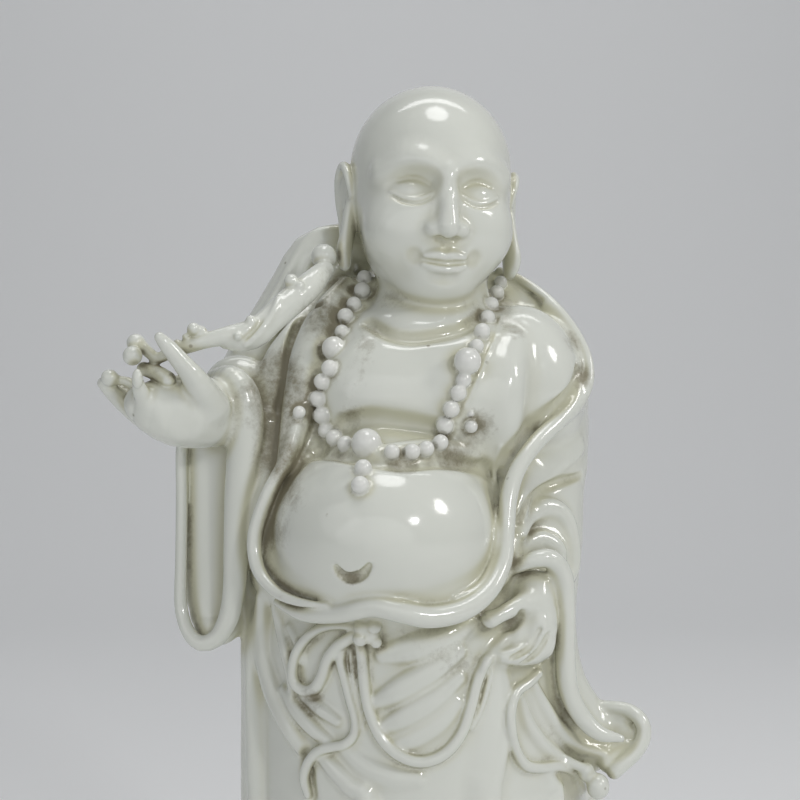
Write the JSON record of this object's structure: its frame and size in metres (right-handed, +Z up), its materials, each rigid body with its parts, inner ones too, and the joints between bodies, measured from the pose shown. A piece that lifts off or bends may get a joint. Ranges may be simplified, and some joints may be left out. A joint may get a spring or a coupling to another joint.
{
  "type": "porcelain maitreya statue",
  "caption": "Standing pot-bellied monk in white glazed porcelain, open robe, string of beads, staff and sack over one shoulder, on a low oval plinth.",
  "frame": {"origin": "on the floor, at the middle of the statue's bounding box seen from above", "axes": "+Z up, the figure faces -Y, +X is to the viewer's right"},
  "size_m": [0.0866, 0.0646, 0.1692],
  "materials": {
    "porcelain": "glossy"
  },
  "bodies": {
    "root": {"statue": "porcelain"}
  },
  "joints": []
}
